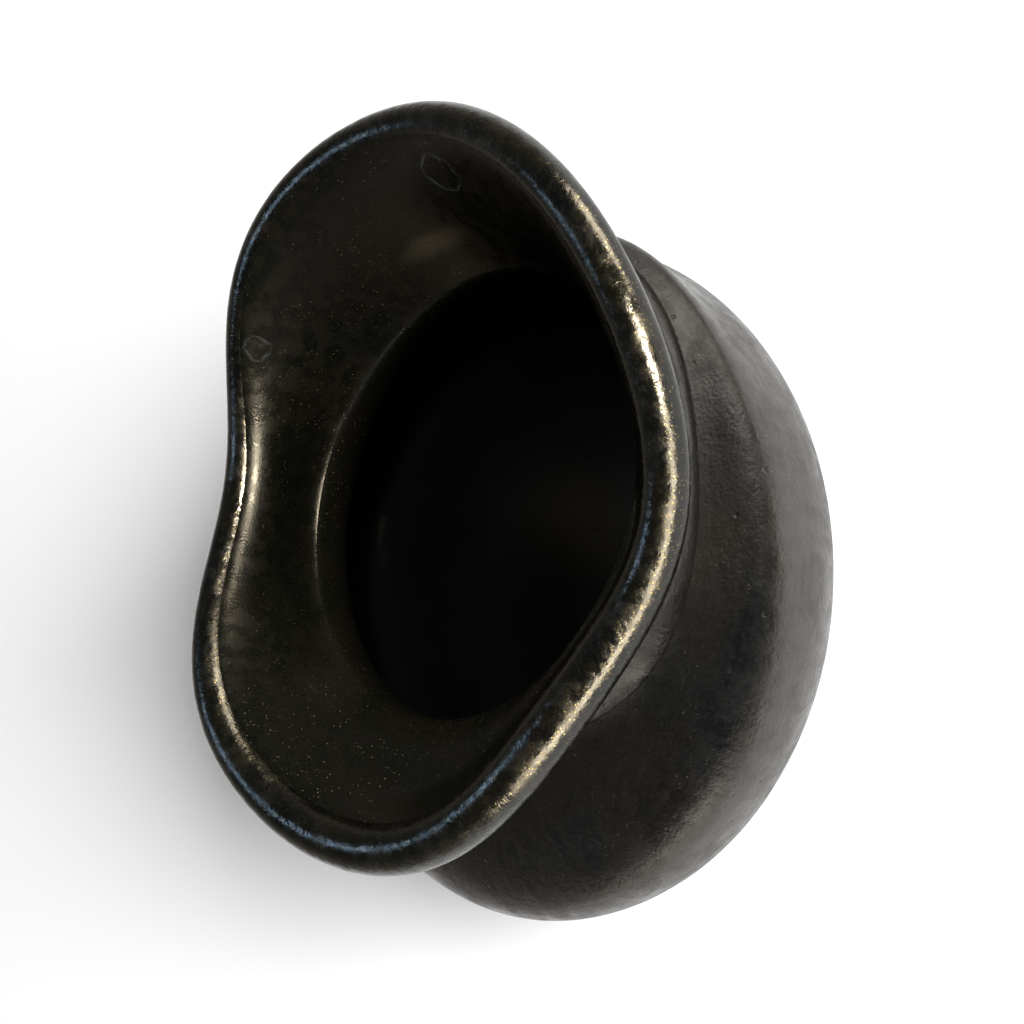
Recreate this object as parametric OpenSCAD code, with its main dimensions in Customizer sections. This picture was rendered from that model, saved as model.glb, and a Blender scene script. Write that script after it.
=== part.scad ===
// Barro negro pot: a squat, round-bellied pot of black fired clay with a wide,
// wavy, flared mouth that ends in a thick burnished roll.
// A potter builds it up in sections: a foot pad, a pressed bowl, a shoulder,
// a neck coil, a flare and a rolled lip. Each section is one node here, and
// they meet face to face along the potter's joints.
// The mouth is pulled to one side of the belly, towards +X.
// The origin is the centre of the flat foot, where it rests on the table.
// +Z is up and the lowest part of the wavy lip faces -Y. All sizes are in mm.

/* [Belly] */
// Radius of the belly at its widest level
belly_r = 60; // [50:1:75]
// Height of the widest level above the table
belly_h = 30; // [26:1:36]
// Depth of the ellipse that the lower belly follows
belly_depth = 31.5; // [29:0.5:38]
// Thickness of the clay wall
wall = 5; // [3.5:0.5:6]
// Thickness of the floor above the foot pad
floor_t = 2.5; // [2:0.5:5]

/* [Foot] */
// Height of the foot pad
foot_h = 2.5; // [2:0.5:4]
// Radius of the flat face that the pot stands on
foot_r = 24; // [20:1:26]

/* [Neck] */
// Inside radius of the throat
throat_r = 37.7; // [32:0.5:42]
// Height of the narrowest level above the table
throat_h = 51; // [48:0.5:56]
// Height of the neck coil
neck_coil_h = 9; // [7:0.5:10]
// How far the foot of the neck coil spreads on its inside
neck_spread_in = 3; // [1:0.5:4]
// How far the foot of the neck coil spreads on its outside
neck_spread_out = 0.6; // [0.2:0.2:3]
// How much further that foot spreads under the lip's low side
low_side_swell = 4.2; // [0:0.2:5]
// Direction of the lip's low side, in degrees
low_side_dir = -122; // [-180:1:0]
// How much further that foot spreads where the mouth leans out over the belly
lean_swell = 1.5; // [0:0.1:3]
// Direction in which the mouth leans out, in degrees
lean_dir = -25; // [-90:1:90]
// How far that foot is tucked in between the two
tuck = 1.8; // [0:0.1:3]
// Direction in which it is tucked in, in degrees
tuck_dir = -70; // [-120:1:-30]
// Half-width of the swellings and of the tuck, in degrees
swell_width = 30; // [15:1:60]
// How far the throat sits off the belly's axis, towards +X
throat_shift_x = 12.4; // [0:0.5:14]
// How far the throat sits off the belly's axis, towards +Y
throat_shift_y = -3.1; // [-6:0.5:6]
// How far the throat is out of round, as a radius
throat_oval = 3; // [0:0.5:4]
// Direction of the throat's longer half-width, in degrees
throat_oval_dir = -48.5; // [-90:1:90]
// How far the shoulder keeps rising before it turns in to the neck
shoulder_rise = 12; // [8:1:14]
// Width of the soft corner where the shoulder meets the neck
shoulder_corner = 5.5; // [2:0.5:7]
// Height of that soft corner
shoulder_corner_h = 4.2; // [1:0.2:5]

/* [Mouth] */
// Mean radius of the mouth, to the middle of the lip roll
mouth_r = 51.5; // [47:0.5:56]
// Mean height of the lip roll above the table
mouth_h = 68.5; // [66:0.5:74]
// How far the mouth sits off the belly's axis, towards +X
mouth_shift_x = 12.5; // [0:0.5:14]
// How far the mouth sits off the belly's axis, towards +Y
mouth_shift_y = -5; // [-6:0.5:6]
// How much the mouth is pulled into an oval
mouth_oval = 6.4; // [0:0.2:8]
// Direction of the mouth's longer half-width, in degrees
mouth_oval_dir = -15.5; // [-90:1:90]
// How much the mouth is pulled into three soft corners
mouth_corners = 1.7; // [0:0.1:2]
// Direction of one of the soft corners, in degrees
mouth_corners_dir = 44.6; // [0:1:120]
// How much higher than its mean the lip rises on its high side
lip_tilt = 7.6; // [0:0.2:9]
// Direction of the lip's high side, in degrees
lip_tilt_dir = 41.7; // [0:1:90]
// Height of the saddle-shaped wave in the lip
lip_saddle = 4.3; // [0:0.1:5]
// Direction of one crest of the saddle, in degrees
lip_saddle_dir = -15.7; // [-90:1:90]
// Height of the four small waves in the lip
lip_ripple = 2.1; // [0:0.1:2.5]
// Direction of one crest of the small waves, in degrees
lip_ripple_dir = 42.9; // [0:1:90]

/* [Lip] */
// Radius of the rolled lip
lip_r = 3.7; // [3:0.1:4.5]
// Thickness of the flare where it runs into the lip
flare_edge_t = 4.4; // [3.5:0.1:5.5]
// Slope of the flare where it runs into the lip, in degrees from level
flare_slope = 36; // [25:1:50]
// How far the inside leans out for each mm that it rises at the neck's top
lean_in = 0.67; // [0.4:0.01:1]
// How far the outside leans out for each mm that it rises at the neck's top
lean_out = 0.34; // [0.1:0.01:0.7]
// Height over which the flare starts to open above the neck coil
flare_rise = 3.5; // [2:0.5:6]
// How straight the flare runs just before the lip
flare_reach = 7; // [5:0.5:9]

/* [Smoothness] */
// Number of facets around the neck, the flare and the lip
facets = 96; // [48:12:108]
// Number of steps along the shoulder and the flare
steps = 10; // [6:1:12]

/* [Hidden] */
throat_edge = 0.8;
neck_top_h = throat_h + 2 * throat_edge;
neck_low_h = neck_top_h - neck_coil_h;
bowl_floor_h = foot_h + floor_t;
lip_join_angle = asin(flare_edge_t / 2 / lip_r);
lip_steps = steps + 4;
clay = [0.10, 0.10, 0.105];
clay_bare = [0.15, 0.145, 0.14];
clay_polished = [0.08, 0.08, 0.085];

// Angles of the facets around the pot
angles = [for (i = [0 : facets - 1]) i * 360 / facets];

// Level direction outward at angle a
function out(a) = [cos(a), sin(a), 0];

// Point on a cubic Bezier curve at share t of its way
function bezier(p, t) =
    pow(1 - t, 3) * p[0] + 3 * t * pow(1 - t, 2) * p[1] + 3 * t * t * (1 - t) * p[2] + pow(t, 3) * p[3];

// Points along a Bezier curve, from its start to its end
function bezier_points(p) = [for (k = [0 : steps]) bezier(p, k / steps)];

// Items of a list in the opposite order
function reversed(list) = [for (k = [len(list) - 1 : -1 : 0]) list[k]];

// Angle between two directions, in degrees
function angle_between(a, b) = abs((a - b + 900) % 360 - 180);

// A swelling of height 1 that dies away on both sides of direction dir
function swelling(a, dir) = exp(-pow(angle_between(a, dir) / swell_width, 2));

// How far the outside of the neck's foot stands out from the throat
function neck_foot(a) =
    wall + neck_spread_out + low_side_swell * swelling(a, low_side_dir)
    + lean_swell * swelling(a, lean_dir) - tuck * swelling(a, tuck_dir);

// Point on the neck's inner face (extra = 0) or further out, at height h
function neck_point(a, extra, h) =
    [throat_shift_x, throat_shift_y, h]
    + (throat_r + throat_oval * cos(2 * (a - throat_oval_dir)) + extra) * out(a);

// Radius of the lip's middle line around the mouth's own centre
function mouth_radius(a) =
    mouth_r + mouth_oval * cos(2 * (a - mouth_oval_dir)) + mouth_corners * cos(3 * (a - mouth_corners_dir));

// Height of the lip's middle line
function mouth_height(a) =
    mouth_h + lip_tilt * cos(a - lip_tilt_dir) + lip_saddle * cos(2 * (a - lip_saddle_dir))
    + lip_ripple * cos(4 * (a - lip_ripple_dir));

// Point on the lip's middle line
function mouth_point(a) = [mouth_shift_x, mouth_shift_y, mouth_height(a)] + mouth_radius(a) * out(a);

// Direction in which the flare runs into the lip, and the direction square to it, up and inward
function flare_dir(a) = cos(flare_slope) * out(a) + [0, 0, sin(flare_slope)];
function flare_up(a) = -sin(flare_slope) * out(a) + [0, 0, cos(flare_slope)];

// Point on the lip's surface: turn = 0 faces the flare, and turn grows over the top of the roll
function lip_point(a, turn) =
    mouth_point(a) + lip_r * (-cos(turn) * flare_dir(a) + sin(turn) * flare_up(a));

// The shoulder's section: up the inside from the belly, and down the outside
function shoulder_curve(a, inset, foot) = [
    (belly_r - inset) * out(a) + [0, 0, belly_h],
    (belly_r - inset) * out(a) + [0, 0, belly_h + shoulder_rise - inset / 2],
    neck_point(a, foot + shoulder_corner, neck_low_h - shoulder_corner_h),
    neck_point(a, foot, neck_low_h)
];
function shoulder_section(a) = concat(
    bezier_points(shoulder_curve(a, wall, neck_spread_in)),
    reversed(bezier_points(shoulder_curve(a, 0, neck_foot(a))))
);

// The neck coil's section: it draws in from its foot to the throat and opens again above it
function neck_curve(a, extra, foot, lean) = [
    neck_point(a, foot, neck_low_h),
    neck_point(a, foot - shoulder_corner * 0.4, neck_low_h + shoulder_corner_h * 0.4),
    neck_point(a, extra + throat_edge - lean * 3 * throat_edge, neck_top_h - 3 * throat_edge),
    neck_point(a, extra + throat_edge, neck_top_h)
];
function neck_section(a) = concat(
    bezier_points(neck_curve(a, 0, neck_spread_in, lean_in)),
    reversed(bezier_points(neck_curve(a, wall, neck_foot(a), lean_out)))
);

// The flare's section: up the inside from the neck, and down the outside
function flare_curve(a, extra, lean, turn) = [
    neck_point(a, extra + throat_edge, neck_top_h),
    neck_point(a, extra + throat_edge + lean * flare_rise, neck_top_h + flare_rise),
    lip_point(a, turn) - flare_reach * flare_dir(a),
    lip_point(a, turn)
];
function flare_section(a) = concat(
    bezier_points(flare_curve(a, 0, lean_in, lip_join_angle)),
    reversed(bezier_points(flare_curve(a, wall, lean_out, -lip_join_angle)))
);

// The lip's section: round the roll from the flare's outside edge to its inside edge
function lip_section(a) = [
    for (k = [0 : lip_steps])
        lip_point(a, -lip_join_angle - k * (360 - 2 * lip_join_angle) / lip_steps)
];

// Ring of clay through one closed section at each angle. Sections that run the
// other way round (turned = true) have their faces turned, so that they face out.
module clay_ring(sections, turned = false) {
    n = len(sections);
    m = len(sections[0]);
    corners = [for (s = sections) each s];
    faces = [
        for (i = [0 : n - 1], j = [0 : m - 1])
            let (
                p = i * m + j,
                q = ((i + 1) % n) * m + j,
                r = ((i + 1) % n) * m + (j + 1) % m,
                s = i * m + (j + 1) % m
            )
            each turned ? [[p, r, q], [p, s, r]] : [[p, q, r], [p, r, s]]
    ];
    polyhedron(points = corners, faces = faces, convexity = 6);
}

// Flat pad that the pot stands on, with a softened lower edge
module foot_pad() {
    edge = foot_h / 2;
    color(clay_bare)
        rotate_extrude($fn = facets)
            polygon([
                [0, 0],
                [foot_r - edge, 0],
                [foot_r - edge / 3, edge / 3],
                [foot_r, edge],
                [foot_r, foot_h],
                [0, foot_h]
            ]);
}

// Bowl from the foot pad up to the widest level, with an elliptical outside and inside
module lower_bowl() {
    drop = belly_h - foot_h;
    outer_end = asin(drop / belly_depth);
    inner_depth = belly_h - bowl_floor_h;
    outer = [
        for (k = [0 : steps])
            let (t = k * outer_end / steps)
            [belly_r * cos(t), belly_h - belly_depth * sin(t)]
    ];
    inner = [
        for (k = [steps : -1 : 0])
            let (t = k * 90 / steps)
            [(belly_r - wall) * cos(t), belly_h - inner_depth * sin(t)]
    ];
    color(clay)
        rotate_extrude($fn = facets)
            polygon(concat(outer, [[0, foot_h]], inner));
}

// Shoulder from the widest level in to the neck, which sits off the belly's axis
module shoulder() {
    color(clay)
        clay_ring([for (a = angles) shoulder_section(a)]);
}

// Short upright coil at the narrowest level
module neck_coil() {
    color(clay)
        clay_ring([for (a = angles) neck_section(a)]);
}

// Flare that opens from the neck to the wavy mouth
module mouth_flare() {
    color(clay)
        clay_ring([for (a = angles) flare_section(a)]);
}

// Thick round roll of clay along the edge of the mouth
module lip_roll() {
    color(clay_polished)
        clay_ring([for (a = angles) lip_section(a)]);
}

foot_pad();
lower_bowl();
shoulder();
neck_coil();
mouth_flare();
lip_roll();
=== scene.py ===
from math import asin, atan2, cos, exp, pi, radians, sin

import bmesh
import bpy
from mathutils import Matrix, Vector, noise
from mathutils.geometry import interpolate_bezier


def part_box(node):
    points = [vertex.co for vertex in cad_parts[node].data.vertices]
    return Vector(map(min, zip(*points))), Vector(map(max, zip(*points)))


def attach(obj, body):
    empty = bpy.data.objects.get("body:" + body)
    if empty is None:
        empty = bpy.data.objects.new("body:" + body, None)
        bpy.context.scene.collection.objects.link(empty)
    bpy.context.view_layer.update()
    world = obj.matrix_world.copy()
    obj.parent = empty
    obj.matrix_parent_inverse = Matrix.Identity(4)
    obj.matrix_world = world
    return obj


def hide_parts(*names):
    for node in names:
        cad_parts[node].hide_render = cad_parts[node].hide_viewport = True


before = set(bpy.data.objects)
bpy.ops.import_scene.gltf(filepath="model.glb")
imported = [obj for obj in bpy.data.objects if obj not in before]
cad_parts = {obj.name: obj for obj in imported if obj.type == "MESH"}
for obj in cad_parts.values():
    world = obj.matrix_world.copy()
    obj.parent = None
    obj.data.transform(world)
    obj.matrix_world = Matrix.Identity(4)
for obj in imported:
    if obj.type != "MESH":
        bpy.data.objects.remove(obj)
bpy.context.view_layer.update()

scene = bpy.context.scene


# ---------------------------------------------------------------------------
# Foot pad. A flat disc of clay under the bowl, cut free from the board with a
# string and left unburnished, so it is matt and a little sandy.
# ---------------------------------------------------------------------------

TURNS = 240                                  # steps around the pot
JOINT_ANGLE = radians(50)                    # a joint's edges turn by more than this, and stay sharp
foot_low, foot_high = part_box("foot_pad")
foot_r = (foot_high[0] - foot_low[0]) / 2
foot_h = foot_high[2]
foot_edge = 0.0012                           # softened lower edge
noise.seed_set(1)                            # the same hand-made unevenness each time


def uneven(p):
    """How far a hand-shaped wall strays from a true form at point p."""
    slow = noise.noise_vector(p * 14.0)
    quick = noise.noise_vector(p * 38.0 + Vector((3.1, 0.7, 5.2)))
    return slow * 0.0004 + quick * 0.0001


def turn_section(name, inside, outside, looks, shape=None):
    """Turn a closed section of clay round the pot's axis: the points of its inside face going up,
    then those of its outside face going down. Each point is (radius, share, height), and
    shape(point, angle, share, is_outside) moves it to its place on the hand-pulled pot."""
    bm = bmesh.new()
    share = bm.verts.layers.float.new("share")
    face = bm.verts.layers.int.new("face")
    section = []
    for is_outside, points in enumerate((inside, outside)):
        for radius, s, height in points:
            v = bm.verts.new((radius, 0, height))
            v[share] = s
            v[face] = is_outside
            section.append(v)
    edges = [bm.edges.new((a, b)) for a, b in zip(section, section[1:] + section[:1])]
    bmesh.ops.spin(bm, geom=section + edges, cent=(0, 0, 0), axis=(0, 0, 1), angle=2 * pi,
                   steps=TURNS, use_merge=True, use_duplicate=False)
    bmesh.ops.remove_doubles(bm, verts=bm.verts, dist=1e-7)
    for v in bm.verts:
        if shape:
            v.co = shape(v.co.copy(), atan2(v.co.y, v.co.x), v[share], v[face])
        v.co += uneven(v.co) * min(1.0, max(0.0, (v.co.z - foot_h) / 0.01))
    for f in bm.faces:
        f.material_index = min(v[face] for v in f.verts) if len(looks) > 1 else 0
    bmesh.ops.recalc_face_normals(bm, faces=bm.faces)
    mesh = bpy.data.meshes.new(name)
    bm.to_mesh(mesh)
    bm.free()
    mesh.shade_smooth()
    mesh.set_sharp_from_angle(angle=JOINT_ANGLE)
    for look in looks:
        mesh.materials.append(look)
    piece = bpy.data.objects.new(name, mesh)
    scene.collection.objects.link(piece)
    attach(piece, "root")
    return piece


def arc(radius, height, size, start, end, steps):
    """Points (radius, share, height) along an arc of this size, from angle start to end in degrees."""
    turns = [radians(start + (end - start) * k / steps) for k in range(steps + 1)]
    return [(radius + size * cos(t), 0, height + size * sin(t)) for t in turns]


class Look:
    """A material, or a group that several materials share, with its nodes added by short calls."""

    def __init__(self, name, inputs=None, outputs=None):
        if outputs is None:
            self.material = bpy.data.materials.new(name)
            self.material.use_nodes = True
            self.tree = self.material.node_tree
            self.clay = self.tree.nodes["Principled BSDF"]
            return
        self.tree = bpy.data.node_groups.new(name, "ShaderNodeTree")
        for socket, (kind, value) in inputs.items():
            made = self.tree.interface.new_socket(socket, in_out="INPUT", socket_type=kind)
            made.default_value = value
        for socket, kind in outputs.items():
            self.tree.interface.new_socket(socket, in_out="OUTPUT", socket_type=kind)
        self.asked = self.tree.nodes.new("NodeGroupInput").outputs
        self.gives = self.tree.nodes.new("NodeGroupOutput").inputs

    def add(self, kind, settings=None, **values):
        """Add a node. Values go to the inputs of that name: a number, a colour or another node's output."""
        node = self.tree.nodes.new("ShaderNode" + kind)
        for key, value in (settings or {}).items():
            setattr(node, key, value)
        for key, value in values.items():
            self.set(node.inputs[key.replace("_", " ")], value)
        return node

    def set(self, socket, value):
        if isinstance(value, bpy.types.NodeSocket):
            self.tree.links.new(value, socket)
        else:
            socket.default_value = value

    def math(self, operation, *values):
        node = self.tree.nodes.new("ShaderNodeMath")
        node.operation = operation
        for socket, value in zip(node.inputs, values):
            self.set(socket, value)
        return node.outputs[0]

    def spread(self, value, low, high, to_low=0.0, to_high=1.0):
        """Spread a value's range low..high over to_low..to_high, softly and without overshoot."""
        node = self.add("MapRange", {"interpolation_type": "SMOOTHSTEP"}, Value=value, From_Min=low,
                        From_Max=high, To_Min=to_low, To_Max=to_high)
        return node.outputs["Result"]

    def blend(self, share, first, second):
        """Blend two colours by a share."""
        node = self.tree.nodes.new("ShaderNodeMix")
        node.data_type = "RGBA"
        for socket, value in ((node.inputs[0], share), (node.inputs[6], first), (node.inputs[7], second)):
            self.set(socket, value)
        return node.outputs[2]

    def use(self, group, **values):
        node = self.tree.nodes.new("ShaderNodeGroup")
        node.node_tree = group.tree
        for key, value in values.items():
            self.set(node.inputs[key.replace("_", " ")], value)
        return node.outputs


NUMBER = "NodeSocketFloat"
VECTOR = "NodeSocketVector"

# Cloudy patches from the smoke of the firing, in two sizes
smoke = Look("smoke_clouds", {"Size": (NUMBER, 45.0)}, {"Cloud": NUMBER, "Fine": NUMBER})
place = smoke.add("TexCoord").outputs["Object"]
cloud = smoke.add("TexNoise", Vector=place, Scale=smoke.asked["Size"], Detail=4.0, Roughness=0.6,
                  Distortion=0.6)
fine = smoke.add("TexNoise", Vector=place, Scale=smoke.math("MULTIPLY", smoke.asked["Size"], 9.0), Detail=3.0)
smoke.set(smoke.gives["Cloud"], smoke.spread(cloud.outputs["Fac"], 0.36, 0.64))
smoke.set(smoke.gives["Fine"], smoke.spread(fine.outputs["Fac"], 0.35, 0.65))

# Small round spots scattered over the clay: mica specks, dust, pits or pimples
spots = Look("scattered_spots",
             {"Per metre": (NUMBER, 900.0), "Radius": (NUMBER, 0.2), "Share": (NUMBER, 0.1)},
             {"Spot": NUMBER})
place = spots.add("TexCoord").outputs["Object"]
cells = spots.add("TexVoronoi", Vector=place, Scale=spots.asked["Per metre"])
dot = spots.add("MapRange", {"interpolation_type": "SMOOTHSTEP"}, Value=cells.outputs["Distance"],
                From_Min=spots.math("MULTIPLY", spots.asked["Radius"], 0.35), From_Max=spots.asked["Radius"],
                To_Min=1.0, To_Max=0.0).outputs["Result"]
pick = spots.add("SeparateColor", Color=cells.outputs["Color"]).outputs[0]
chosen = spots.math("GREATER_THAN", spots.asked["Share"], pick)
size_of_each = spots.add("SeparateColor", Color=cells.outputs["Color"]).outputs[1]
spots.set(spots.gives["Spot"], spots.math("MULTIPLY", spots.math("MULTIPLY", dot, chosen), size_of_each))

# Sandy grain of the fired clay, as a height
grain = Look("clay_grain", {"Per metre": (NUMBER, 2200.0)}, {"Height": NUMBER})
sand = grain.add("TexNoise", Vector=grain.add("TexCoord").outputs["Object"], Scale=grain.asked["Per metre"],
                 Detail=3.0, Roughness=0.65)
grain.set(grain.gives["Height"], sand.outputs["Fac"])

bare = Look("bare_sandy_clay")
clouds = bare.use(smoke, Size=60.0)
tone = bare.blend(clouds["Cloud"], (0.03, 0.028, 0.026, 1), (0.06, 0.055, 0.05, 1))
bare.set(bare.clay.inputs["Base Color"], tone)
bare.set(bare.clay.inputs["Roughness"], bare.spread(clouds["Fine"], 0, 1, 0.65, 0.85))
bump = bare.add("Bump", Height=bare.use(grain, Per_metre=1500.0)["Height"], Strength=0.6, Distance=0.0002)
bare.set(bare.clay.inputs["Normal"], bump.outputs["Normal"])

foot_outside = [(0.0002, 0, foot_h), (foot_r, 0, foot_h), (foot_r, 0, foot_h * 0.8)]
foot_outside += arc(foot_r - foot_edge, foot_edge, foot_edge, 0, -90, 8)
foot_outside += [(foot_r * 0.6, 0, 0), (0.0002, 0, 0)]
foot = turn_section("foot_pad_clay", [], foot_outside, [bare.material])
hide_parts("foot_pad")


# ---------------------------------------------------------------------------
# Lower bowl. Clay pressed and beaten into a bowl shape up to the widest level.
# The outside is rubbed with a quartz pebble in level strokes until it shines.
# ---------------------------------------------------------------------------

bowl_low, bowl_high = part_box("lower_bowl")
belly_r = (bowl_high[0] - bowl_low[0]) / 2
belly_h = bowl_high[2]
belly_depth = 0.0315
wall = 0.005
floor_h = 0.005

# Level strokes left by the burnishing pebble. They run round the pot, so the
# pattern is long round the axis and short up the wall.
strokes = Look("burnishing_strokes", {"Fineness": (NUMBER, 60.0)}, {"Stroke": NUMBER})
where = strokes.add("SeparateXYZ", Vector=strokes.add("TexCoord").outputs["Object"])
x, y, z = where.outputs
around = strokes.math("ARCTAN2", y, x)
squares = strokes.math("ADD", strokes.math("MULTIPLY", x, x), strokes.math("MULTIPLY", y, y))
from_core = strokes.math("SUBTRACT", strokes.math("SQRT", squares), 0.02)
up_wall = strokes.math("ARCTAN2", strokes.math("SUBTRACT", z, belly_h), from_core)
line = strokes.add("CombineXYZ", X=strokes.math("MULTIPLY", strokes.math("COSINE", around), 4.0),
                   Y=strokes.math("MULTIPLY", strokes.math("SINE", around), 4.0),
                   Z=strokes.math("MULTIPLY", up_wall, strokes.asked["Fineness"]))
rub = strokes.add("TexNoise", Vector=line.outputs["Vector"], Scale=1.0, Detail=3.0, Roughness=0.6,
                  Distortion=0.25)
strokes.set(strokes.gives["Stroke"], rub.outputs["Fac"])

burnished = Look("burnished_black_clay")
clouds = burnished.use(smoke, Size=42.0)
patches = burnished.use(smoke, Size=95.0)
stroke = burnished.use(strokes, Fineness=55.0)["Stroke"]
sand = burnished.use(grain, Per_metre=1700.0)["Height"]
dust = burnished.use(spots, Per_metre=1600.0, Radius=0.24, Share=0.22)["Spot"]
pits = burnished.use(spots, Per_metre=420.0, Radius=0.22, Share=0.3)["Spot"]
tone = burnished.blend(clouds["Cloud"], (0.0020, 0.0027, 0.0034, 1), (0.0046, 0.0036, 0.0026, 1))
tone = burnished.blend(burnished.spread(sand, 0.45, 0.75, 0.0, 0.05), tone, (0.16, 0.15, 0.12, 1))
dusty = burnished.math("MULTIPLY", dust, burnished.spread(patches["Cloud"], 0, 1, 0.05, 0.45))
tone = burnished.blend(dusty, tone, (0.35, 0.32, 0.24, 1))
burnished.set(burnished.clay.inputs["Base Color"], tone)
gloss = burnished.math("ADD", burnished.spread(patches["Cloud"], 0, 1, 0.31, 0.44),
                       burnished.spread(stroke, 0.35, 0.65, -0.02, 0.03))
gloss = burnished.math("ADD", gloss, burnished.spread(clouds["Fine"], 0, 1, -0.04, 0.06))
burnished.set(burnished.clay.inputs["Roughness"], gloss)
burnished.clay.inputs["IOR"].default_value = 1.95
burnished.clay.inputs["Specular Tint"].default_value = (1.0, 0.95, 0.89, 1)
dents = burnished.use(grain, Per_metre=190.0)["Height"]
height = burnished.math("ADD", burnished.math("MULTIPLY", stroke, 0.2), burnished.math("MULTIPLY", sand, 0.5))
height = burnished.math("ADD", height, burnished.math("MULTIPLY", dents, 1.5))
height = burnished.math("SUBTRACT", height, burnished.math("MULTIPLY", pits, 0.8))
bump = burnished.add("Bump", Height=height, Strength=0.6, Distance=0.0003)
burnished.set(burnished.clay.inputs["Normal"], bump.outputs["Normal"])

inner = Look("dark_inner_clay")
clouds = inner.use(smoke, Size=50.0)
tone = inner.blend(clouds["Cloud"], (0.0005, 0.0005, 0.0007, 1), (0.0009, 0.0008, 0.0006, 1))
inner.set(inner.clay.inputs["Base Color"], tone)
inner.set(inner.clay.inputs["Roughness"], inner.spread(clouds["Cloud"], 0, 1, 0.27, 0.31))
inner.clay.inputs["IOR"].default_value = 1.35
bump = inner.add("Bump", Height=inner.use(grain, Per_metre=900.0)["Height"], Strength=0.12, Distance=0.0002)
inner.set(inner.clay.inputs["Normal"], bump.outputs["Normal"])


def bowl_face(radius, depth, start, end, steps):
    """Points along an elliptical face of the bowl, from angle start to angle end below level."""
    turns = [radians(start + (end - start) * k / steps) for k in range(steps + 1)]
    return [(radius * cos(t), 0, belly_h - depth * sin(t)) for t in turns]


outside_end = asin((belly_h - foot_h) / belly_depth) * 180 / pi
bowl_inside = [(0.0002, 0, floor_h)] + bowl_face(belly_r - wall, belly_h - floor_h, 89, 0, 44)
bowl_outside = bowl_face(belly_r, belly_depth, 0, outside_end, 60)
bowl_outside.append((0.0002, 0, foot_h))
bowl = turn_section("lower_bowl_clay", bowl_inside, bowl_outside, [inner.material, burnished.material])
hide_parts("lower_bowl")


# ---------------------------------------------------------------------------
# Shoulder. The wall is worked inward from the widest level to the neck, which
# sits to one side of the belly, and is burnished together with the bowl.
# ---------------------------------------------------------------------------

throat_r = 0.0377
throat_shift = Vector((0.0124, -0.0031, 0))
neck_low_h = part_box("neck_coil")[0][2]
neck_top_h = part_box("neck_coil")[1][2]


def outward(a):
    return Vector((cos(a), sin(a), 0))


def wave(a, size, count, crest):
    """A wave of the given size with this many crests round the pot, one of them at angle crest."""
    return size * cos(count * (a - radians(crest)))


def pull_neck(a):
    """How far the neck at angle a strays from a circle on the belly's axis."""
    return throat_shift + outward(a) * wave(a, 0.003, 2, -48.5)


def curve(points, steps):
    """Points (radius, share, height) along a curve given by its two ends and their handles."""
    return [tuple(p) for p in interpolate_bezier(*[Vector(p) for p in points], steps)]


shoulder_rise = 0.012                        # how far the wall keeps rising before it turns in
corner_out = 0.0055                          # width of the soft corner below the neck
corner_down = 0.0042                         # and its height


def shoulder_face(inset, foot):
    edge_r = belly_r - inset
    neck_foot_r = throat_r + foot
    return curve([(edge_r, 0, belly_h), (edge_r, 0, belly_h + shoulder_rise - inset / 2),
                  (neck_foot_r + corner_out, 1, neck_low_h - corner_down), (neck_foot_r, 1, neck_low_h)], 60)


def bumps(a, places):
    """Sum at angle a of soft bumps round the pot. Each place is a direction, a half-width and a height."""
    total = 0
    for direction, width, height in places:
        off = atan2(sin(a - radians(direction)), cos(a - radians(direction)))
        total += height * exp(-(off / radians(width)) ** 2)
    return total


def swelling(a):
    """How far the outside of the neck's foot spreads at angle a: most under the lip's low side, a little
    where the mouth leans out over the belly, and tucked in between the two."""
    return bumps(a, ((-122, 30, 0.0042), (-25, 30, 0.0015), (-70, 30, -0.0018)))


def shape_shoulder(p, a, share, is_outside):
    return p + (pull_neck(a) + outward(a) * swelling(a) * is_outside) * share


neck_spread_in = 0.003
neck_spread_out = 0.0006
shoulder_outside = shoulder_face(0, wall + neck_spread_out)
shoulder_inside = shoulder_face(wall, neck_spread_in)
shoulder = turn_section("shoulder_clay", shoulder_inside, shoulder_outside[::-1],
                        [inner.material, burnished.material], shape_shoulder)
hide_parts("shoulder")


# ---------------------------------------------------------------------------
# Neck coil. A short upright roll of clay set on the shoulder and smoothed in,
# inside and out, to make the narrowest part of the pot.
# ---------------------------------------------------------------------------


def shape_neck(p, a, share, is_outside):
    return p + pull_neck(a) + outward(a) * swelling(a) * is_outside * share


# The ring that a drop of water leaves when it dries on the clay
dried = Look("dried_drop", {"Centre": (VECTOR, (0, 0, 0)), "Radius": (NUMBER, 0.0035)}, {"Ring": NUMBER})
away = dried.add("VectorMath", {"operation": "DISTANCE"})
ragged = dried.add("TexNoise", Vector=dried.add("TexCoord").outputs["Object"], Scale=420.0, Detail=2.0)
dried.set(away.inputs[0], dried.add("TexCoord").outputs["Object"])
dried.set(away.inputs[1], dried.asked["Centre"])
from_edge = dried.math("SUBTRACT", away.outputs["Value"], dried.asked["Radius"])
from_edge = dried.math("ADD", from_edge, dried.spread(ragged.outputs["Fac"], 0.3, 0.7, -0.0004, 0.0004))
edge = dried.spread(dried.math("ABSOLUTE", from_edge), 0.0, 0.00045, 1.0, 0.0)
broken = dried.spread(ragged.outputs["Fac"], 0.38, 0.6, 0.3, 1.0)
dried.set(dried.gives["Ring"], dried.math("MULTIPLY", edge, broken))

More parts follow.
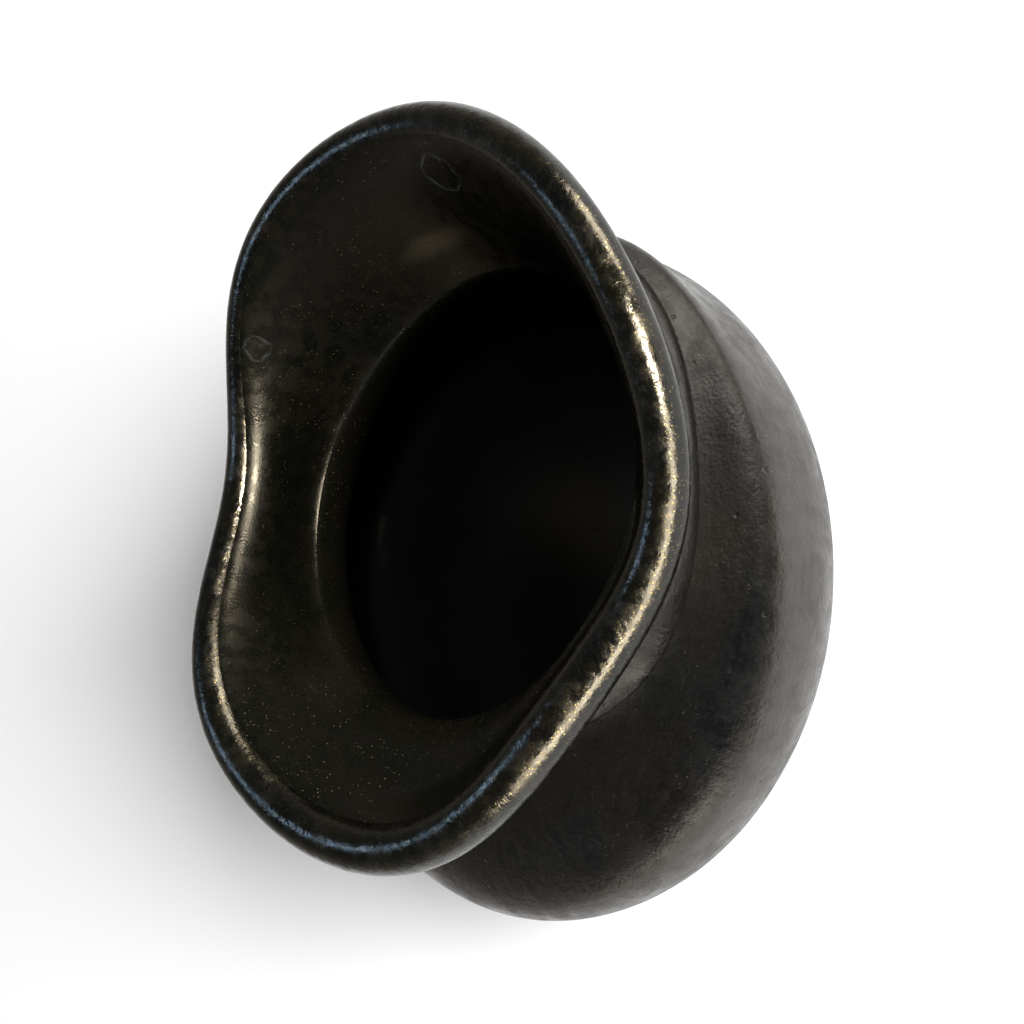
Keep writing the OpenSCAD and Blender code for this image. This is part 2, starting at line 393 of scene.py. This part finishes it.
smoked = Look("smoked_satin_clay")
clouds = smoked.use(smoke, Size=38.0)
patches = smoked.use(smoke, Size=70.0)
sand = smoked.use(grain, Per_metre=2400.0)["Height"]
mica = smoked.use(spots, Per_metre=1700.0, Radius=0.25, Share=0.34)["Spot"]
mica = smoked.math("MULTIPLY", mica, smoked.spread(patches["Cloud"], 0.1, 1, 0.05, 1.0))
tone = smoked.blend(clouds["Cloud"], (0.0030, 0.0033, 0.0021, 1), (0.0056, 0.0048, 0.0030, 1))
tone = smoked.blend(smoked.spread(sand, 0.45, 0.75, 0.0, 0.06), tone, (0.10, 0.09, 0.05, 1))
tone = smoked.blend(smoked.math("MULTIPLY", mica, 0.6), tone, (0.42, 0.36, 0.22, 1))

# A low, wide patch of painted reflection on the flare, a brown glow painted into its colour, given as its
# place and how many of its half-sizes go into a metre along X, Y and Z
painted_reflection_place = (0.0548, 0.0, 0.0611)
painted_reflection_sizes_per_metre = (40.0, 105.0, 380.0)
from_painted_reflection = smoked.add("VectorMath", {"operation": "SUBTRACT"})
smoked.set(from_painted_reflection.inputs[0], smoked.add("TexCoord").outputs["Object"])
smoked.set(from_painted_reflection.inputs[1], painted_reflection_place)
in_painted_reflection = smoked.add("VectorMath", {"operation": "MULTIPLY"})
smoked.set(in_painted_reflection.inputs[0], from_painted_reflection.outputs["Vector"])
smoked.set(in_painted_reflection.inputs[1], painted_reflection_sizes_per_metre)
painted_reflection_edge = smoked.add("VectorMath", {"operation": "LENGTH"})
smoked.set(painted_reflection_edge.inputs[0], in_painted_reflection.outputs["Vector"])
painted_reflection = smoked.math("MULTIPLY", smoked.spread(painted_reflection_edge.outputs["Value"], 0.2, 1.15, 1.0, 0.0),
                    smoked.spread(sand, 0.3, 0.6, 0.35, 1.0))
# painted reflection: a brown glow blended into the flare's colour, broken up by the sand's grain
tone = smoked.blend(painted_reflection, tone, (0.055, 0.045, 0.028, 1))

large_drop = smoked.use(dried, Centre=(0.0619, -0.0131, 0.0728), Radius=0.0037)["Ring"]
small_drop = smoked.use(dried, Centre=(0.0355, 0.0313, 0.0732), Radius=0.0022)["Ring"]
rings = smoked.math("ADD", large_drop, smoked.math("MULTIPLY", small_drop, 0.5))
tone = smoked.blend(smoked.math("MULTIPLY", rings, 0.30), tone, (0.25, 0.26, 0.26, 1))
smoked.set(smoked.clay.inputs["Base Color"], tone)
smoked.set(smoked.clay.inputs["Roughness"], smoked.spread(clouds["Fine"], 0, 1, 0.24, 0.36))
smoked.clay.inputs["IOR"].default_value = 1.32
smoked.set(smoked.clay.inputs["Metallic"], smoked.math("MULTIPLY", mica, 0.5))
pimples = smoked.use(spots, Per_metre=260.0, Radius=0.14, Share=0.35)["Spot"]
height = smoked.math("ADD", smoked.math("MULTIPLY", sand, 0.6), smoked.math("MULTIPLY", pimples, 0.9))
bump = smoked.add("Bump", Height=height, Strength=0.42, Distance=0.0002)
smoked.set(smoked.clay.inputs["Normal"], bump.outputs["Normal"])

throat_edge = 0.0008                         # the throat's edge is rounded over about this much
foot_turn = (0.0022, 0.0017)                 # the neck's foot turns up over this width and height


def neck_face(extra, spread, lean):
    neck_foot_r = throat_r + extra + spread
    edge_r = throat_r + extra + throat_edge
    turn_h = 3 * throat_edge
    return curve([(neck_foot_r, 1, neck_low_h),
                  (neck_foot_r - foot_turn[0], 1, neck_low_h + foot_turn[1]),
                  (edge_r - lean * turn_h, 0, neck_top_h - turn_h),
                  (edge_r, 0, neck_top_h)], 40)


lean_in = 0.67                               # metres the inside leans out for each metre it rises here
lean_out = 0.34                              # and the outside
neck_inside = neck_face(0, neck_spread_in, lean_in)
neck_outside = neck_face(wall, neck_spread_out, lean_out)
neck = turn_section("neck_coil_clay", neck_inside, neck_outside[::-1],
                    [smoked.material, burnished.material], shape_neck)
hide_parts("neck_coil")


# ---------------------------------------------------------------------------
# Mouth flare. The clay above the neck is opened out and pushed into slow waves
# by hand. Its inside keeps a soft smoky satin with fine specks of mica.
# ---------------------------------------------------------------------------

mouth_r = 0.0515
mouth_h = 0.0685
mouth_shift = Vector((0.0125, -0.005, 0))
lip_mean_r = 0.0037
flare_slope = radians(36)
flare_rise = 0.0035                          # height over which the flare starts to open
flare_reach = 0.007                          # how straight it runs just before the lip


def pull_mouth(a):
    """How far the lip's middle line at angle a strays from a level circle on the belly's axis."""
    sideways = wave(a, 0.0064, 2, -15.5) + wave(a, 0.0017, 3, 44.6)
    rise = wave(a, 0.0076, 1, 41.7) + wave(a, 0.0043, 2, -15.7) + wave(a, 0.0021, 4, 42.9)
    thinner = lip_mean_r - lip_r(a)
    sideways += thinner * cos(flare_slope) + pressed(a)
    return mouth_shift + outward(a) * sideways + Vector((0, 0, rise + thinner * sin(flare_slope)))


def lip_r(a):
    """Radius of the rolled lip at angle a: the coil is fatter towards -X."""
    return lip_mean_r + wave(a, 0.0005, 1, 190) + wave(a, 0.0002, 2, 190)


# Places where the fingers pressed the lip out or in: direction, width and push
presses = ((-38, 22, 0.0006), (0, 20, 0.0006), (88, 34, -0.0009), (132, 16, 0.0009), (178, 20, 0.0009))


def pressed(a):
    return bumps(a, presses)


def crease(a):
    """How sharply the flare meets the lip at angle a, from 0, smoothed in, to 1, a clear crease."""
    return 0.5 + 0.5 * cos(a - radians(185))


def on_lip(size, turn):
    """Place on a lip roll of this radius, turned up from the side that faces the flare."""
    t = flare_slope + pi - turn
    return Vector((size * cos(t), 0, size * sin(t)))


even_join = radians(36)                      # how far round the roll the flare's faces meet a round lip


def flare_face(extra, lean, turn):
    end = Vector((mouth_r, 0, mouth_h)) + on_lip(lip_mean_r, turn)
    start = throat_r + extra + throat_edge
    return curve([(start, 0, neck_top_h),
                  (start + lean * flare_rise, 0, neck_top_h + flare_rise),
                  (end.x - flare_reach * cos(flare_slope), 1, end.z - flare_reach * sin(flare_slope)),
                  (end.x, 1, end.z)], 60)


dish_depth = 0.0018                          # how deep the flare is dished inside a clear crease


def shape_flare(p, a, share, is_outside):
    if is_outside:
        turn, even = -even_join, -even_join
    else:
        turn, even = radians(86 - 44 * crease(a)), even_join
    step = on_lip(lip_r(a), turn) - on_lip(lip_mean_r, even)
    dish = 0 if is_outside else dish_depth * crease(a) * 4 * share ** 3 * (1 - share)
    local = outward(a) * step.x + Vector((0, 0, step.z - dish))
    return p + pull_neck(a) * (1 - share) + pull_mouth(a) * share + local * share - Vector((0, 0, dish))


flare_inside = flare_face(0, lean_in, even_join)
flare_outside = flare_face(wall, lean_out, -even_join)
flare = turn_section("mouth_flare_clay", flare_inside, flare_outside[::-1],
                     [smoked.material, burnished.material], shape_flare)
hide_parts("mouth_flare")


# ---------------------------------------------------------------------------
# Lip roll. A thick coil of clay along the edge of the mouth, rounded between
# the fingers and burnished hardest, so it carries the brightest shine.
# ---------------------------------------------------------------------------


def shape_lip(p, a, share, is_outside):
    middle = outward(a) * mouth_r + Vector((0, 0, mouth_h))
    return middle + (p - middle) * lip_r(a) / lip_mean_r + pull_mouth(a)


polished = Look("polished_lip_clay")
clouds = polished.use(smoke, Size=55.0)
flakes = polished.use(spots, Per_metre=2600.0, Radius=0.5, Share=0.45)["Spot"]
tone = polished.blend(clouds["Cloud"], (0.0024, 0.0026, 0.0022, 1), (0.0048, 0.0042, 0.0024, 1))
tone = polished.blend(polished.math("MULTIPLY", flakes, 0.5), tone, (0.45, 0.38, 0.21, 1))
polished.set(polished.clay.inputs["Base Color"], tone)
bright = polished.math("MINIMUM", polished.math("MULTIPLY", flakes, 4.0), 1.0)
polished.set(polished.clay.inputs["Metallic"], bright)
gloss = polished.math("ADD", polished.spread(clouds["Fine"], 0, 1, 0.13, 0.24),
                      polished.spread(polished.use(smoke, Size=120.0)["Cloud"], 0, 1, 0.0, 0.10))
polished.set(polished.clay.inputs["Roughness"], gloss)
height = polished.math("ADD", polished.math("MULTIPLY", polished.use(grain, Per_metre=1500.0)["Height"], 0.8),
                       polished.math("MULTIPLY", clouds["Fine"], 0.4))
bump = polished.add("Bump", Height=height, Strength=0.42, Distance=0.0002)
polished.set(polished.clay.inputs["Normal"], bump.outputs["Normal"])

roll = arc(mouth_r, mouth_h, lip_mean_r, 0, -352, 44)
lip = turn_section("lip_roll_clay", [], roll, [polished.material], shape_lip)
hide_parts("lip_roll")


# ---------------------------------------------------------------------------
# Table, light and camera. A white table whose colour darkens well away from the pot as painted shade, soft
# studio light and a camera that looks down into the mouth, turned on its side.
# ---------------------------------------------------------------------------

table_mesh = bpy.data.meshes.new("table")
bm = bmesh.new()
bmesh.ops.create_grid(bm, x_segments=1, y_segments=1, size=4)
bm.to_mesh(table_mesh)
bm.free()
table = bpy.data.objects.new("table", table_mesh)
scene.collection.objects.link(table)
paper = Look("white_table")                  # it gets darker well away from the pot
from_pot = paper.add("VectorMath", {"operation": "LENGTH"}, Vector=paper.add("TexCoord").outputs["Object"])
# painted shade: the table's colour darkens well away from the pot, standing in for the edge of a lamp's pool
# of light
paper.set(paper.clay.inputs["Base Color"], paper.blend(paper.spread(from_pot.outputs["Value"], 0.34, 0.75),
                                                       (0.88, 0.88, 0.88, 1), (0.40, 0.39, 0.38, 1)))
paper.clay.inputs["Roughness"].default_value = 0.95
paper.clay.inputs["Emission Color"].default_value = (1, 1, 1, 1)
paper.clay.inputs["Emission Strength"].default_value = 0.05
table_mesh.materials.append(paper.material)

# A dim room with a warm glow along the horizon
room = bpy.data.worlds.new("room")
room.use_nodes = True
scene.world = room
sky = room.node_tree
direction = sky.nodes.new("ShaderNodeTexCoord")
split = sky.nodes.new("ShaderNodeSeparateXYZ")
ramp = sky.nodes.new("ShaderNodeValToRGB")
sky.links.new(direction.outputs["Generated"], split.inputs[0])
sky.links.new(split.outputs["Z"], ramp.inputs["Fac"])
sky.links.new(ramp.outputs["Color"], sky.nodes["Background"].inputs["Color"])
ramp.color_ramp.elements[0].position = 0.0
ramp.color_ramp.elements[0].color = (0.50, 0.44, 0.37, 1)
ramp.color_ramp.elements[1].position = 1.0
ramp.color_ramp.elements[1].color = (0.028, 0.035, 0.044, 1)
between = ((0.17, (0.30, 0.27, 0.235, 1)), (0.40, (0.14, 0.134, 0.124, 1)), (0.7, (0.040, 0.048, 0.057, 1)))
for height, color in between:
    ramp.color_ramp.elements.new(height).color = color
sky.nodes["Background"].inputs["Strength"].default_value = 1.0


def lamp(name, place, aim, size, power, tint, lit, mirrored, behind_pot=False):
    """A rectangular soft lamp for the pieces in the list lit. A mirrored one only shows in their gloss,
    the others only light their clay. The pot's own wall doesn't hide a lamp that is behind the pot."""
    light = bpy.data.lights.new(name, "AREA")
    light.shape = "RECTANGLE"
    light.size, light.size_y = size
    light.energy = power
    light.color = tint
    holder = bpy.data.objects.new(name, light)
    holder.location = place
    holder.rotation_euler = (Vector(aim) - Vector(place)).to_track_quat("-Z", "Y").to_euler()
    holder.visible_glossy = mirrored
    holder.visible_diffuse = not mirrored
    holder.light_linking.receiver_collection = bpy.data.collections.new(name)
    for piece in lit:
        holder.light_linking.receiver_collection.objects.link(piece)
    if behind_pot:
        holder.light_linking.blocker_collection = bpy.data.collections.new(name + "_blockers")
        holder.light_linking.blocker_collection.objects.link(table)
    scene.collection.objects.link(holder)


pot = [foot, bowl, shoulder, neck, flare, lip]
WHITE = (1.0, 1.0, 1.0)
WARM = (1.0, 0.86, 0.62)
CREAM = (1.0, 0.97, 0.92)
lamp("table_key", (0.55, -2.65, 1.20), (0, 0, 0), (1.6, 1.6), 310.0, WHITE, [table], mirrored=False)
lamp("soft_key", (0.35, -0.62, 0.75), (0, 0, 0.02), (0.45, 0.45), 14.0, WHITE, pot, mirrored=False)
lamp("blue_window", (-0.16, 0.60, 1.02), (0, 0, 0.06), (0.22, 0.17), 1.4, (0.50, 0.73, 1.0), [lip],
     mirrored=True)
lamp("warm_window_right", (0.89, -0.80, 0.30), (0, 0, 0.06), (0.75, 0.44), 22.0, WARM, [lip], mirrored=True)
lamp("warm_window_left", (-0.80, -0.89, 0.28), (0, 0, 0.06), (1.20, 0.42), 36.0, WARM, [lip], mirrored=True)
lamp("small_window", (-0.085, -0.81, 0.54), (0, 0, 0.07), (0.12, 0.12), 32.0, WARM, [lip, flare],
     mirrored=True)
lamp("low_window", (-0.72, -0.24, 0.26), (0, 0, 0.045), (0.55, 0.30), 0.8, CREAM, [shoulder, neck],
     mirrored=True)
lamp("side_window", (0.75, -0.27, 0.72), (0, 0, 0.04), (1.00, 0.62), 3.4, (1.0, 0.98, 0.95), [shoulder],
     mirrored=True)
lamp("sky_in_bowl", (-0.074, 0.523, 0.863), (0.007, 0.014, 0.006), (0.26, 0.22), 0.55, (0.35, 0.65, 1.0),
     [bowl], mirrored=True, behind_pot=True)
lamp("wall_in_bowl", (0.083, 0.447, 0.905), (-0.008, 0.018, 0.007), (0.10, 0.24), 0.3, (1.0, 0.92, 0.78),
     [bowl], mirrored=True, behind_pot=True)
lamp("brown_glow", (-0.293, 0.193, 0.026), (0.055, 0, 0.061), (0.06, 0.02), 0.02, (1.0, 0.80, 0.54),
     [flare], mirrored=True, behind_pot=True)

view_height = radians(45.2)                  # camera above the table's level, seen from the belly
view_distance = 0.2957
view_roll = radians(-84.7)
view_pan = radians(2.2)
view_tilt = radians(1.06)
back = Vector((0, -cos(view_height), sin(view_height)))
ahead = -back
right = ahead.cross(Vector((0, 0, 1))).normalized()
up = right.cross(ahead)
ahead = ahead * cos(view_pan) * cos(view_tilt) + right * sin(view_pan) * cos(view_tilt) + up * sin(view_tilt)
right = ahead.cross(up).normalized()
up = right.cross(ahead)
side = right * cos(view_roll) + up * sin(view_roll)
top = up * cos(view_roll) - right * sin(view_roll)
turned = Matrix((side, top, -ahead)).transposed().to_4x4()
camera = bpy.data.objects.new("camera", bpy.data.cameras.new("camera"))
camera.data.sensor_width = 36
camera.data.lens = 57.8
camera.data.clip_start = 0.01
camera.matrix_world = Matrix.Translation(Vector((0, 0, belly_h)) + back * view_distance) @ turned
scene.collection.objects.link(camera)
scene.camera = camera
scene.view_settings.view_transform = "Standard"
